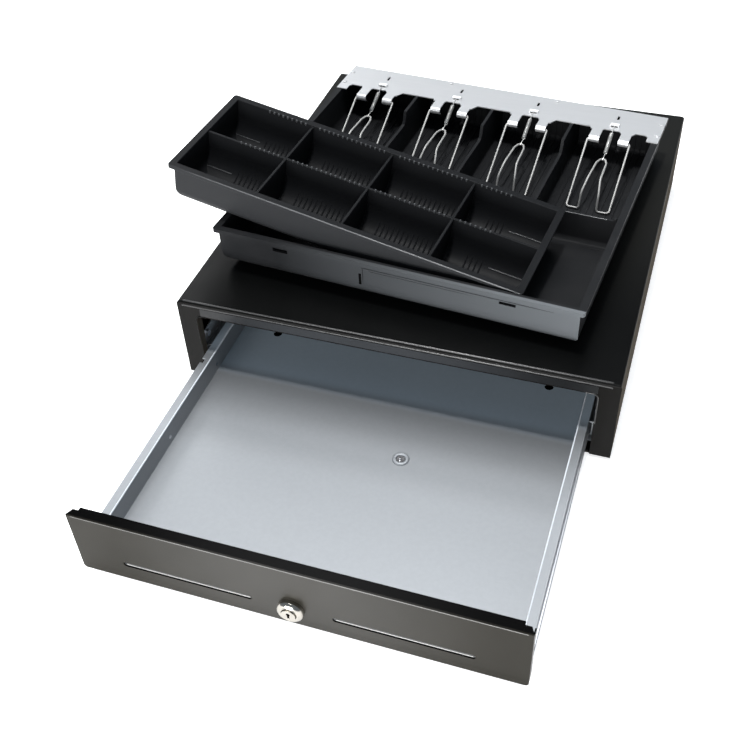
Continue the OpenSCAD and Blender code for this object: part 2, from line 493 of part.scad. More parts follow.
// ---------- coin tray ----------
cx = coin_w / 2; cy = coin_d / 2;
module coin_tray() color([0.07, 0.07, 0.075]) on_top() translate([-50.4, -90, till_h + 26.3]) rotate([1.943, 8.917, -0.71]) difference() {
  union() {
    intersection() {
      along_y(-cy + 4.5, cy - 4.5) rr(-cx + 4.6, cx - 4.6, -coin_h, 0, [14, 14, 0, 0]);
      along_x(-cx, cx) rr(-cy + 4.5, cy - 4.5, -coin_h, 0, [12, 12, 0, 0]);
    }
    translate([0, 0, -3.8]) linear_extrude(3.8) rr(-cx, cx, -cy, cy, [3, 3, 3, 3]);
  }
  for (c = [[-cx + 6.8, -86.2, 11.8, 3], [-83.8, -1.2, 3, 3], [1.2, 83.8, 3, 3], [86.2, cx - 6.8, 3, 11.8]], r = [[-cy + 6.7, -0.1], [2.3, cy - 6.7]])
    intersection() {
      along_y(r[0], r[1]) rr(c[0], c[1], -coin_h + 2.2, 1, [c[2], c[3], 0, 0]);
      along_x(c[0] - 1, c[1] + 1) rr(r[0], r[1], -coin_h + 2.2, 1, [22, 22, 0, 0]);
    }
  // dividers stand a little lower than the rim
  box(-cx + 6.8, cx - 6.8, -cy + 6.7, cy - 6.7, -1.6, 1);
}

place() housing_shell();
place() base_plate();
place() back_panel();
place() rubber_feet();
place() foot_screws();
place() shell_screws();
place() rail_bracket_left();
place() rail_bracket_right();
place() outer_rail_left();
place() outer_rail_right();
place() rail_screws();
place() ball_cage_left();
place() ball_cage_right();
place() inner_rail_left();
place() inner_rail_right();
place() drawer_tray();
place() drawer_front();
place() media_chutes();
place() drawer_rivets();
place() striker();
place() lock_body();
place() lock_nut();
place() lock_core();
place() lock_link();
place() pivot_washer();
place() pivot_screw();
place() latch_bracket();
place() latch_pin();
place() latch_lever();
place() solenoid_frame();
place() solenoid_coil();
place() solenoid_plunger();
place() plunger_spring();
place() kicker_tube();
place() kicker_rod();
place() kicker_spring();
place() microswitch();
place() switch_button();
place() cable_socket();
place() socket_lead();
place() latch_screws();
place() till_tray();
place() clip_plate();
place() plate_rivets();
place() bill_clip_1();
place() bill_clip_2();
place() bill_clip_3();
place() bill_clip_4();
place() clip_spring_1();
place() clip_spring_2();
place() clip_spring_3();
place() clip_spring_4();
place() coin_tray();
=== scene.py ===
import math
import json

import bpy
import bmesh
from mathutils import Vector, Matrix

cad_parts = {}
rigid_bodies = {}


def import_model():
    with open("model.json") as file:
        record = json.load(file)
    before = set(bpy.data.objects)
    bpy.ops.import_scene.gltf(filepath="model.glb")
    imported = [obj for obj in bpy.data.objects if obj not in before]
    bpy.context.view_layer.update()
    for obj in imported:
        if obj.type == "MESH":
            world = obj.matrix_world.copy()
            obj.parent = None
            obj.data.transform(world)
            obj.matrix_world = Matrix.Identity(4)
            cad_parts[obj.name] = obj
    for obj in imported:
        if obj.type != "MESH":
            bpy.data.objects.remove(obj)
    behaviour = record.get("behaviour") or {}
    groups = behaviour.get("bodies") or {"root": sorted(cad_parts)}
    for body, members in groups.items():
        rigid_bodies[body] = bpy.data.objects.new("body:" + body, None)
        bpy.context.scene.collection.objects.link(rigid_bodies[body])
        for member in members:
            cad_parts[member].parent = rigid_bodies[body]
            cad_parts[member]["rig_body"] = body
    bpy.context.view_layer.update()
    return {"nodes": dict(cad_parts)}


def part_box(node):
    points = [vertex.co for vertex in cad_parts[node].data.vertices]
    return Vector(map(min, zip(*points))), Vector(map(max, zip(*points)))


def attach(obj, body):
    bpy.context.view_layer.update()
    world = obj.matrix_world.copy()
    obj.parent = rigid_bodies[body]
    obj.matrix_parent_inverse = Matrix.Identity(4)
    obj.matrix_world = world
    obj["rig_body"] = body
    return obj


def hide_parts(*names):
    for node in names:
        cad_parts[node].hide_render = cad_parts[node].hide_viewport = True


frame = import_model()
N = frame["nodes"]
rad = math.radians

# ---------------------------------------------------------------- places
# Plain numbers below are millimetres in the part's own drawing frames: BASE has its origin under
# the middle of the housing, TILL on the housing top under the till, COIN in the coin tray's rim.
hlo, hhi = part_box("housing_shell")
OX, OY = (hlo.x + hhi.x) / 2, (hlo.y + hhi.y) / 2


def W(x, y, z):
    return Vector((OX + x / 1000, OY + y / 1000, z / 1000))


S = Matrix.Scale(0.001, 4)
BASE = Matrix.Translation(W(0, 0, 0)) @ S
TILL = Matrix.Translation(W(1.4, -15.9, 91)) @ Matrix.Rotation(rad(-4.6), 4, "Z") @ S
COIN = (
    TILL
    @ Matrix.Translation((-50.4, -90, 71.3))
    @ Matrix.Rotation(rad(-0.71), 4, "Z")
    @ Matrix.Rotation(rad(8.917), 4, "Y")
    @ Matrix.Rotation(rad(1.943), 4, "X")
)

# ---------------------------------------------------------------- materials


def new_mat(name):
    m = bpy.data.materials.new(name)
    m.use_nodes = True
    nt = m.node_tree
    return m, nt, nt.nodes["Principled BSDF"]


def surface(
    name,
    base,
    rough,
    metal=0.0,
    spec=0.5,
    tint=None,
    tint_scale=30.0,
    tint_stretch=(1, 1, 1),
    rough_var=0.0,
    rough_scale=60.0,
    bump_scale=800.0,
    bump=0.0,
    bump_dist=0.0002,
    bump_stretch=(1, 1, 1),
    wear=None,
    coat=0.0,
    aniso=0.0,
    dust=None,
    top=None,
    top_gloss=0.45,
    side=None,
    front=None,
    painted_shade_ramp=None,
    back=None,
    ends=None,
):
    """A procedural finish: two-tone colour, uneven roughness, fine bump and paler worn edges, with optional painted
    shade and light on upward faces, long sides, front walls and tray floors.
    """
    m, nt, p = new_mat(name)
    L = nt.links
    p.inputs["Metallic"].default_value = metal
    p.inputs["Specular IOR Level"].default_value = spec
    p.inputs["Roughness"].default_value = rough
    p.inputs["Base Color"].default_value = (*base, 1)
    if coat:
        p.inputs["Coat Weight"].default_value = coat
        p.inputs["Coat Roughness"].default_value = 0.25
    if aniso:
        p.inputs["Anisotropic"].default_value = aniso
    tc = nt.nodes.new("ShaderNodeTexCoord")

    def noise(scale, stretch, detail=4.0):
        mp = nt.nodes.new("ShaderNodeMapping")
        mp.inputs["Scale"].default_value = stretch
        L.new(tc.outputs["Object"], mp.inputs["Vector"])
        n = nt.nodes.new("ShaderNodeTexNoise")
        n.inputs["Scale"].default_value = scale
        n.inputs["Detail"].default_value = detail
        L.new(mp.outputs["Vector"], n.inputs["Vector"])
        return n

    colour = None
    if tint:
        n = noise(tint_scale, tint_stretch)
        r = nt.nodes.new("ShaderNodeValToRGB")
        r.color_ramp.elements[0].position = 0.35
        r.color_ramp.elements[1].position = 0.65
        r.color_ramp.elements[0].color = (*base, 1)
        r.color_ramp.elements[1].color = (*tint, 1)
        L.new(n.outputs["Fac"], r.inputs["Fac"])
        colour = r.outputs["Color"]
    if top:
        # painted shade: upward faces take a darker colour than upright ones, as if they caught less light, and their
        # gloss is scaled by top_gloss
        g0 = nt.nodes.new("ShaderNodeNewGeometry")
        s0 = nt.nodes.new("ShaderNodeSeparateXYZ")
        L.new(g0.outputs["Normal"], s0.inputs["Vector"])
        m0 = nt.nodes.new("ShaderNodeMapRange")
        m0.inputs["From Min"].default_value = 0.3
        m0.inputs["From Max"].default_value = 0.9
        L.new(s0.outputs["Z"], m0.inputs["Value"])
        x0 = nt.nodes.new("ShaderNodeMix")
        x0.data_type = "RGBA"
        x0.inputs[6].default_value = (*base, 1)
        x0.inputs[7].default_value = (*top, 1)
        # painted sheen: the upward faces grow paler toward the back, standing in for a soft reflection on the top
        if back:
            s5 = nt.nodes.new("ShaderNodeSeparateXYZ")
            L.new(tc.outputs["Object"], s5.inputs["Vector"])
            m5 = nt.nodes.new("ShaderNodeMapRange")
            m5.interpolation_type = "SMOOTHSTEP"
            m5.inputs["From Min"].default_value = back[1]
            m5.inputs["From Max"].default_value = back[2]
            L.new(s5.outputs["Y"], m5.inputs["Value"])
            x5 = nt.nodes.new("ShaderNodeMix")
            x5.data_type = "RGBA"
            x5.inputs[6].default_value = (*top, 1)
            x5.inputs[7].default_value = (*back[0], 1)
            L.new(m5.outputs["Result"], x5.inputs[0])
            L.new(x5.outputs[2], x0.inputs[7])
        if colour is not None:
            L.new(colour, x0.inputs[6])
        L.new(m0.outputs["Result"], x0.inputs[0])
        colour = x0.outputs[2]
        m1 = nt.nodes.new("ShaderNodeMapRange")
        m1.inputs["To Min"].default_value = spec
        m1.inputs["To Max"].default_value = spec * top_gloss
        L.new(m0.outputs["Result"], m1.inputs["Value"])
        level = m1.outputs["Result"]
        if side:
            # painted reflection: the long sides take a much paler warm colour that stands in for the bright floor
            # reflected in them, and hardly any gloss
            a6 = nt.nodes.new("ShaderNodeMath")
            a6.operation = "ABSOLUTE"
            L.new(s0.outputs["X"], a6.inputs[0])
            m6 = nt.nodes.new("ShaderNodeMapRange")
            m6.inputs["From Min"].default_value = 0.75
            m6.inputs["From Max"].default_value = 0.95
            L.new(a6.outputs["Value"], m6.inputs["Value"])
            x6 = nt.nodes.new("ShaderNodeMix")
            x6.data_type = "RGBA"
            x6.inputs[7].default_value = (*side[0], 1)
            L.new(colour, x6.inputs[6])
            L.new(m6.outputs["Result"], x6.inputs[0])
            colour = x6.outputs[2]
            m7 = nt.nodes.new("ShaderNodeMapRange")
            m7.inputs["To Min"].default_value = 1.0
            m7.inputs["To Max"].default_value = side[1]
            L.new(m6.outputs["Result"], m7.inputs["Value"])
            a7 = nt.nodes.new("ShaderNodeMath")
            a7.operation = "MULTIPLY"
            L.new(level, a7.inputs[0])
            L.new(m7.outputs["Result"], a7.inputs[1])
            level = a7.outputs["Value"]
        if ends:
            # the gloss falls off toward the two ends: middle, where it starts and ends, share left
            s8 = nt.nodes.new("ShaderNodeSeparateXYZ")
            L.new(tc.outputs["Object"], s8.inputs["Vector"])
            a8 = nt.nodes.new("ShaderNodeMath")
            a8.operation = "SUBTRACT"
            a8.inputs[1].default_value = ends[0]
            L.new(s8.outputs["X"], a8.inputs[0])
            b8 = nt.nodes.new("ShaderNodeMath")
            b8.operation = "ABSOLUTE"
            L.new(a8.outputs["Value"], b8.inputs[0])
            m8 = nt.nodes.new("ShaderNodeMapRange")
            m8.interpolation_type = "SMOOTHSTEP"
            m8.inputs["From Min"].default_value = ends[1]
            m8.inputs["From Max"].default_value = ends[2]
            m8.inputs["To Min"].default_value = 1.0
            m8.inputs["To Max"].default_value = ends[3]
            L.new(b8.outputs["Value"], m8.inputs["Value"])
            c8 = nt.nodes.new("ShaderNodeMath")
            c8.operation = "MULTIPLY"
            L.new(level, c8.inputs[0])
            L.new(m8.outputs["Result"], c8.inputs[1])
            level = c8.outputs["Value"]
        L.new(level, p.inputs["Specular IOR Level"])
    if painted_shade_ramp:
        # painted shade and light: the floor colour darkens toward the housing front and lifts, paler and bluer, under
        # the housing where its shadow falls; (depth, share of the colour) pairs, front to back; upright faces keep the
        # front share
        s9 = nt.nodes.new("ShaderNodeSeparateXYZ")
        L.new(tc.outputs["Object"], s9.inputs["Vector"])
        m9 = nt.nodes.new("ShaderNodeMapRange")
        m9.inputs["From Min"].default_value = painted_shade_ramp[0][0]
        m9.inputs["From Max"].default_value = painted_shade_ramp[-1][0]
        L.new(s9.outputs["Y"], m9.inputs["Value"])
        r9 = nt.nodes.new("ShaderNodeValToRGB")
        r9.color_ramp.interpolation = "EASE"
        while len(r9.color_ramp.elements) < len(painted_shade_ramp):
            r9.color_ramp.elements.new(0.5)
        for el, (d9, f9) in zip(r9.color_ramp.elements, painted_shade_ramp):
            el.position = (d9 - painted_shade_ramp[0][0]) / (painted_shade_ramp[-1][0] - painted_shade_ramp[0][0])
            el.color = (*f9, 1)
        L.new(m9.outputs["Result"], r9.inputs["Fac"])
        g9 = nt.nodes.new("ShaderNodeNewGeometry")
        z9 = nt.nodes.new("ShaderNodeSeparateXYZ")
        L.new(g9.outputs["Normal"], z9.inputs["Vector"])
        w9 = nt.nodes.new("ShaderNodeMapRange")
        w9.inputs["From Min"].default_value = 0.3
        w9.inputs["From Max"].default_value = 0.9
        L.new(z9.outputs["Z"], w9.inputs["Value"])
        x9 = nt.nodes.new("ShaderNodeMix")
        x9.data_type = "RGBA"
        x9.blend_type = "MULTIPLY"
        x9.inputs[6].default_value = (*base, 1)
        x9.inputs[0].default_value = 1.0
        if colour is not None:
            L.new(colour, x9.inputs[6])
        y9 = nt.nodes.new("ShaderNodeMix")
        y9.data_type = "RGBA"
        y9.inputs[6].default_value = (*painted_shade_ramp[0][1], 1)
        L.new(r9.outputs["Color"], y9.inputs[7])
        L.new(w9.outputs["Result"], y9.inputs[0])
        L.new(y9.outputs[2], x9.inputs[7])
        colour = x9.outputs[2]
    if front:
        # painted light: the front wall and rim take a paler colour that stands in for light falling on them, paler
        # toward one end:
        # pale colour, the tray's origin and turn, the wall's depth, the rim's depth, half the length and how much shows
        # at the dark end
        pale, at, turn, wall_y, rim_y, half, low = front
        g3 = nt.nodes.new("ShaderNodeNewGeometry")
        s3 = nt.nodes.new("ShaderNodeSeparateXYZ")
        L.new(g3.outputs["Normal"], s3.inputs["Vector"])
        mp3 = nt.nodes.new("ShaderNodeMapping")
        mp3.vector_type = "TEXTURE"
        mp3.inputs["Location"].default_value = at
        mp3.inputs["Rotation"].default_value = (0, 0, turn)
        L.new(tc.outputs["Object"], mp3.inputs["Vector"])
        s4 = nt.nodes.new("ShaderNodeSeparateXYZ")
        L.new(mp3.outputs["Vector"], s4.inputs["Vector"])

        def ramp(socket, a, b, lo=0.0, hi=1.0):
            r = nt.nodes.new("ShaderNodeMapRange")
            r.inputs["From Min"].default_value = a
            r.inputs["From Max"].default_value = b
            r.inputs["To Min"].default_value = lo
            r.inputs["To Max"].default_value = hi
            L.new(socket, r.inputs["Value"])
            return r.outputs["Result"]

        def join(op, a, b):
            r = nt.nodes.new("ShaderNodeMath")
            r.operation = op
            L.new(a, r.inputs[0])
            L.new(b, r.inputs[1])
            return r.outputs["Value"]

        wall_f = join("MULTIPLY", ramp(s3.outputs["Y"], -0.55, -0.95), ramp(s4.outputs["Y"], wall_y + 0.004, wall_y - 0.004))
        rim_f = ramp(s4.outputs["Y"], rim_y + 0.0004, rim_y - 0.0004)
        amount = join("MULTIPLY", join("MAXIMUM", wall_f, rim_f), ramp(s4.outputs["X"], -half, half, low, 1.0))
        x3 = nt.nodes.new("ShaderNodeMix")
        x3.data_type = "RGBA"
        x3.inputs[6].default_value = (*base, 1)
        x3.inputs[7].default_value = (*pale, 1)
        if colour is not None:
            L.new(colour, x3.inputs[6])
        L.new(amount, x3.inputs[0])
        colour = x3.outputs[2]
    if wear:
        g = nt.nodes.new("ShaderNodeNewGeometry")
        r2 = nt.nodes.new("ShaderNodeMapRange")
        r2.inputs["From Min"].default_value = 0.52
        r2.inputs["From Max"].default_value = 0.6
        L.new(g.outputs["Pointiness"], r2.inputs["Value"])
        mx = nt.nodes.new("ShaderNodeMix")
        mx.data_type = "RGBA"
        mx.inputs[6].default_value = (*base, 1)
        mx.inputs[7].default_value = (*wear, 1)
        if colour is not None:
            L.new(colour, mx.inputs[6])
        L.new(r2.outputs["Result"], mx.inputs[0])
        colour = mx.outputs[2]
    if dust:
        g2 = nt.nodes.new("ShaderNodeNewGeometry")
        sx = nt.nodes.new("ShaderNodeSeparateXYZ")
        L.new(g2.outputs["Normal"], sx.inputs["Vector"])
        nn = noise(dust[1], (1, 1, 1), 6.0)
        mu = nt.nodes.new("ShaderNodeMath")
        mu.operation = "MULTIPLY"
        L.new(sx.outputs["Z"], mu.inputs[0])
        L.new(nn.outputs["Fac"], mu.inputs[1])
        mr = nt.nodes.new("ShaderNodeMapRange")
        mr.inputs["From Min"].default_value = 0.35
        mr.inputs["From Max"].default_value = 0.75
        mr.inputs["To Max"].default_value = dust[2]
        L.new(mu.outputs["Value"], mr.inputs["Value"])
        mx2 = nt.nodes.new("ShaderNodeMix")
        mx2.data_type = "RGBA"
        mx2.inputs[6].default_value = (*base, 1)
        mx2.inputs[7].default_value = (*dust[0], 1)
        if colour is not None:
            L.new(colour, mx2.inputs[6])
        L.new(mr.outputs["Result"], mx2.inputs[0])
        colour = mx2.outputs[2]
    if colour is not None:
        L.new(colour, p.inputs["Base Color"])
    if rough_var:
        n = noise(rough_scale, tint_stretch)
        mr = nt.nodes.new("ShaderNodeMapRange")
        mr.inputs["To Min"].default_value = max(0.02, rough - rough_var)
        mr.inputs["To Max"].default_value = rough + rough_var
        L.new(n.outputs["Fac"], mr.inputs["Value"])
        L.new(mr.outputs["Result"], p.inputs["Roughness"])
    if bump:
        n = noise(bump_scale, bump_stretch, 2.0)
        b = nt.nodes.new("ShaderNodeBump")
        b.inputs["Strength"].default_value = bump
        b.inputs["Distance"].default_value = bump_dist
        L.new(n.outputs["Fac"], b.inputs["Height"])
        L.new(b.outputs["Normal"], p.inputs["Normal"])
    return m


# housing coat with painted light and shade: darker upward faces, a top paler toward the back as a painted sheen, and
# pale warm long sides as a painted reflection of the floor
paint = surface("housing_powder_coat", (0.0034, 0.0031, 0.0026), 0.38, spec=0.08, tint=(0.0046, 0.0041, 0.0034), tint_scale=18, rough_var=0.05, rough_scale=35, bump_scale=1300, bump=0.22, bump_dist=0.00012, top=(0.0016, 0.0018, 0.0018), side=((0.088, 0.077, 0.063), 0.0), top_gloss=0.9, back=((0.0115, 0.0115, 0.0105), W(0, -170, 0).y, W(0, 60, 0).y))
header_reflection_paint = surface("header_painted_reflection", (0.034, 0.0365, 0.040), 0.36, spec=0.3, tint=(0.038, 0.0405, 0.0445), tint_scale=14, rough_var=0.05, rough_scale=60, bump_scale=1300, bump=0.1, bump_dist=0.0001)
# painted reflection: the header strip's pale bluish coat stands in for the tray floor reflected in it, and darkens
# toward both ends of the opening
hn = header_reflection_paint.node_tree
hp = hn.nodes["Principled BSDF"]
hs = hn.nodes.new("ShaderNodeSeparateXYZ")
ht = hn.nodes.new("ShaderNodeTexCoord")
hn.links.new(ht.outputs["Object"], hs.inputs["Vector"])
ha = hn.nodes.new("ShaderNodeMath")
ha.operation = "SUBTRACT"
ha.inputs[1].default_value = W(-20, 0, 0).x
hn.links.new(hs.outputs["X"], ha.inputs[0])
hb = hn.nodes.new("ShaderNodeMath")
hb.operation = "ABSOLUTE"
hn.links.new(ha.outputs["Value"], hb.inputs[0])
hm = hn.nodes.new("ShaderNodeMapRange")
hm.interpolation_type = "SMOOTHSTEP"
hm.inputs["From Min"].default_value = 0.03
hm.inputs["From Max"].default_value = 0.19
hm.inputs["To Min"].default_value = 1.0
hm.inputs["To Max"].default_value = 0.12
hn.links.new(hb.outputs["Value"], hm.inputs["Value"])
hx = hn.nodes.new("ShaderNodeMix")
hx.data_type = "RGBA"
hx.blend_type = "MULTIPLY"
hx.inputs[0].default_value = 1.0
hn.links.new(hp.inputs["Base Color"].links[0].from_socket, hx.inputs[6])
hn.links.new(hm.outputs["Result"], hx.inputs[7])
hn.links.new(hx.outputs[2], hp.inputs["Base Color"])
# painted highlight: a pale copy of the front coat for the bright line along the drawer front's top fold
edge_line_highlight_paint = surface("edge_line_painted_highlight", (0.15, 0.146, 0.14), 0.30, spec=0.7, tint=(0.19, 0.185, 0.18), tint_scale=25, rough_var=0.05, rough_scale=60, bump_scale=1300, bump=0.1, bump_dist=0.0001)
# painted highlight: a lighter, glossier copy of the housing coat for the fold beads and the right-hand opening lip
fold_highlight_paint = surface("fold_highlight_coat", (0.020, 0.0195, 0.019), 0.30, spec=0.75, tint=(0.025, 0.0245, 0.024), tint_scale=25, rough_var=0.05, rough_scale=60, bump_scale=1300, bump=0.15, bump_dist=0.0001)
# drawer front coat: painted shade makes its upward faces much darker than the face; the gloss falls off toward its ends
front_paint = surface("front_powder_coat", (0.0124, 0.0108, 0.0068), 0.38, spec=0.36, tint=(0.0160, 0.0139, 0.0096), tint_scale=14, rough_var=0.05, rough_scale=40, bump_scale=1300, bump=0.25, bump_dist=0.00012, top=(0.0009, 0.0009, 0.0010), top_gloss=0.15, ends=(W(5, 0, 0).x, 0.02, 0.165, 0.30))
galv = surface("galvanised_sheet", (0.268, 0.283, 0.298), 0.5, metal=0.45, tint=(0.278, 0.293, 0.308), tint_scale=260, tint_stretch=(1, 1, 1), rough_var=0.04, rough_scale=160, bump_scale=520, bump=0.08, bump_dist=0.0001)
# tray steel with painted shade: the floor darkens toward the housing and is painted paler and bluer within the
# housing's shadow
tray_steel = surface("tray_sheet_painted_shade", (0.389, 0.467, 0.536), 0.5, metal=0.45, tint=(0.403, 0.483, 0.554), tint_scale=260, tint_stretch=(1, 1, 1), rough_var=0.04, rough_scale=160, bump_scale=520, bump=0.08, bump_dist=0.0001, painted_shade_ramp=[(W(0, y, 0).y, tuple(f * c for c in (0.69, 0.606, 0.556))) for y, f in ((-420, 1.0), (-330, 1.0), (-292, 0.84), (-258, 0.64), (-232, 0.60))] + [(W(0, -212, 0).y, (1.0, 1.0, 1.0))])
# painted shade: a near-black finish for the block that stands in for the shadow within the till's slit
slit_dark = surface("slit_painted_shade", (0.0012, 0.0012, 0.0013), 0.7, spec=0.03, tint=(0.0016, 0.0016, 0.0017), tint_scale=200)
# painted highlight: a pale finish for the lines along the tray's flange edges
tray_edge = surface("tray_edge_painted_highlight", (0.62, 0.66, 0.70), 0.40, metal=0.15, tint=(0.66, 0.70, 0.74), tint_scale=300)
# painted highlight: a pale finish for the bright line inside each media slot
lip_edge = surface("chute_lip_painted_highlight", (0.56, 0.55, 0.535), 0.36, metal=0.3, tint=(0.62, 0.61, 0.595), tint_scale=500)
lip_steel = surface("chute_lip_steel", (0.085, 0.086, 0.085), 0.5, metal=0.3, tint=(0.15, 0.15, 0.148), tint_scale=1400, rough_var=0.08, bump_scale=1500, bump=0.2)
edge_zinc = surface("edge_zinc", (0.62, 0.64, 0.66), 0.32, metal=0.6, tint=(0.58, 0.6, 0.62), tint_scale=60, rough_var=0.05, bump_scale=700, bump=0.05)
chute = surface("chute_zinc", (0.72, 0.72, 0.71), 0.45, metal=0.2, tint=(0.78, 0.78, 0.77), tint_scale=60, rough_var=0.05, bump_scale=700, bump=0.05)
bracket_steel = surface("bracket_zinc", (0.52, 0.54, 0.56), 0.38, metal=0.95, tint=(0.6, 0.61, 0.62), tint_scale=90, rough_var=0.08, bump_scale=700, bump=0.08)
rail_steel = surface("rail_zinc", (0.60, 0.62, 0.64), 0.3, metal=1.0, tint=(0.52, 0.54, 0.57), tint_scale=140, tint_stretch=(1, 0.1, 1), rough_var=0.06, bump_scale=900, bump=0.05, bump_stretch=(1, 0.1, 1))
screw_steel = surface("screw_zinc", (0.66, 0.67, 0.68), 0.26, metal=1.0, tint=(0.55, 0.56, 0.6), tint_scale=500, rough_var=0.08, bump_scale=1500, bump=0.08)
black_screw = surface("black_screw", (0.012, 0.012, 0.012), 0.38, spec=0.6, tint=(0.03, 0.03, 0.03), tint_scale=600, rough_var=0.08, bump_scale=1500, bump=0.1)
dark_steel = surface("dark_steel", (0.10, 0.10, 0.105), 0.35, metal=0.9, tint=(0.16, 0.16, 0.165), tint_scale=400, rough_var=0.1, bump_scale=1500, bump=0.1)
zinc = surface("bright_zinc_plate", (0.625, 0.63, 0.635), 0.38, metal=0.6, tint=(0.64, 0.645, 0.65), tint_scale=60, tint_stretch=(0.4, 3, 3), rough_var=0.06, rough_scale=180, bump_scale=600, bump=0.05, bump_dist=0.0001, bump_stretch=(0.3, 4, 4))
bridge_zinc = surface("bridge_zinc", (0.92, 0.93, 0.94), 0.45, metal=0.15, tint=(0.90, 0.91, 0.92), tint_scale=60, rough_var=0.05, bump_scale=700, bump=0.04)
wire_mat = surface("clip_wire", (0.35, 0.347, 0.336), 0.52, metal=0.35, tint=(0.37, 0.367, 0.356), tint_scale=40, rough_var=0.03)
spring_mat = surface("spring_wire", (0.66, 0.66, 0.64), 0.32, metal=0.6, tint=(0.56, 0.56, 0.545), tint_scale=600, rough_var=0.05)
chrome = surface("lock_chrome", (0.47, 0.445, 0.40), 0.17, metal=1.0, tint=(0.43, 0.41, 0.37), tint_scale=200, rough_var=0.05, rough_scale=300, bump_scale=900, bump=0.02)
abs_black = surface("black_abs", (0.0085, 0.009, 0.0098), 0.46, spec=0.10, tint=(0.0115, 0.0120, 0.0130), tint_scale=40, rough_var=0.06, rough_scale=55, bump_scale=1600, bump=0.12, bump_dist=0.0001)
# coin tray plastic: its front wall and rim are painted paler toward one end, standing in for light falling on them
coin_abs = surface("coin_abs", (0.0088, 0.0093, 0.0102), 0.48, spec=0.07, tint=(0.0095, 0.0100, 0.0110), tint_scale=40, rough_var=0.06, rough_scale=55, bump_scale=1600, bump=0.12, bump_dist=0.0001, front=((0.033, 0.034, 0.036), COIN.translation, rad(-5.31), -0.045, -0.0633, 0.178, 0.60))
# painted highlight: a lighter copy of the black plastic for bright edge lines
abs_highlight_paint = surface("abs_painted_highlight", (0.055, 0.057, 0.060), 0.30, spec=0.6, tint=(0.065, 0.067, 0.070), tint_scale=40, rough_var=0.05, bump_scale=1600, bump=0.05, bump_dist=0.0001)
# till plastic: its front wall and rim are painted much paler toward one end, standing in for light falling on them
till_abs = surface("till_abs", (0.0122, 0.0128, 0.0139), 0.48, spec=0.07, tint=(0.0150, 0.0155, 0.0165), tint_scale=40, rough_var=0.06, rough_scale=55, bump_scale=1600, bump=0.12, bump_dist=0.0001, front=((0.130, 0.139, 0.147), W(1.4, -15.9, 0), rad(-4.6), -0.150, -0.1626, 0.177, -0.22))
abs_bright = surface("black_abs_worn_edge", (0.020, 0.021, 0.023), 0.33, spec=0.55, tint=(0.028, 0.029, 0.031), tint_scale=60, rough_var=0.05, bump_scale=1600, bump=0.1)
rubber = surface("rubber", (0.012, 0.012, 0.012), 0.7, tint=(0.018, 0.018, 0.018), tint_scale=200, rough_var=0.08, bump_scale=900, bump=0.2)
coil_tape = surface("coil_tape", (0.42, 0.20, 0.05), 0.35, tint=(0.5, 0.26, 0.07), tint_scale=300, tint_stretch=(1, 8, 1), rough_var=0.08, bump_scale=1800, bump=0.3, bump_stretch=(0.1, 6, 0.1))
red_plastic = surface("red_plastic", (0.45, 0.03, 0.03), 0.3, tint=(0.4, 0.02, 0.02), tint_scale=400, rough_var=0.05, bump_scale=1500, bump=0.06)

# ---------------------------------------------------------------- mesh helpers


class Build:
    def __init__(self):
        self.v, self.f = [], []

    def add(self, verts, faces):
        o = len(self.v)
        self.v += [Vector(p) for p in verts]
        self.f += [[o + i for i in f] for f in faces]
        return self

    def tube(self, pts, r, n=12, up=None):
        """A round wire along pts, with flat ends."""
        pts = [Vector(p) for p in pts]
        k = len(pts)
        tan = []
        for i in range(k):
            a = pts[max(i - 1, 0)]
            b = pts[min(i + 1, k - 1)]
            tan.append((b - a).normalized())
        u = Vector(up) if up else (Vector((0, 0, 1)) if abs(tan[0].z) < 0.9 else Vector((0, 1, 0)))
        verts, faces = [], []
        for i in range(k):
            t = tan[i]
            u = (u - u.dot(t) * t).normalized()
            w = t.cross(u)
            rr = r[i] if isinstance(r, (list, tuple)) else r
            for j in range(n):
                a = 2 * math.pi * j / n
                verts.append(pts[i] + rr * (math.cos(a) * u + math.sin(a) * w))
        for i in range(k - 1):
            for j in range(n):
                j2 = (j + 1) % n
                faces.append([i * n + j, i * n + j2, (i + 1) * n + j2, (i + 1) * n + j])
        faces.append(list(range(n))[::-1])
        faces.append([(k - 1) * n + j for j in range(n)])
        return self.add(verts, faces)

    def lathe(self, prof, n=40, axis_from=(0, 0, 0), axis=(0, 0, 1)):
        """prof is a closed loop of (radius, height) turned about axis."""
        a = Vector(axis).normalized()
        u = a.orthogonal().normalized()
        w = a.cross(u)
        c = Vector(axis_from)
        k = len(prof)
        verts, faces = [], []
        for j in range(n):
            t = 2 * math.pi * j / n
            d = math.cos(t) * u + math.sin(t) * w
            for r, h in prof:
                verts.append(c + d * r + a * h)
        for j in range(n):
            j2 = (j + 1) % n
            for i in range(k):
                i2 = (i + 1) % k
                faces.append([j * k + i, j2 * k + i, j2 * k + i2, j * k + i2])
        return self.add(verts, faces)

    def emit(self, name, place, body, mat, slot=None, replaces=(), smooth=40):
        me = bpy.data.meshes.new(name)
        me.from_pydata([place @ p for p in self.v], [], self.f)
        bm = bmesh.new()
        bm.from_mesh(me)
        bmesh.ops.recalc_face_normals(bm, faces=bm.faces)
        bm.to_mesh(me)
        bm.free()
        me.materials.append(mat)
        me.shade_smooth()
        me.set_sharp_from_angle(angle=rad(smooth))
        o = bpy.data.objects.new(name, me)
        bpy.context.scene.collection.objects.link(o)
        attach(o, body)
        if replaces:
            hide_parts(*replaces)
        return o


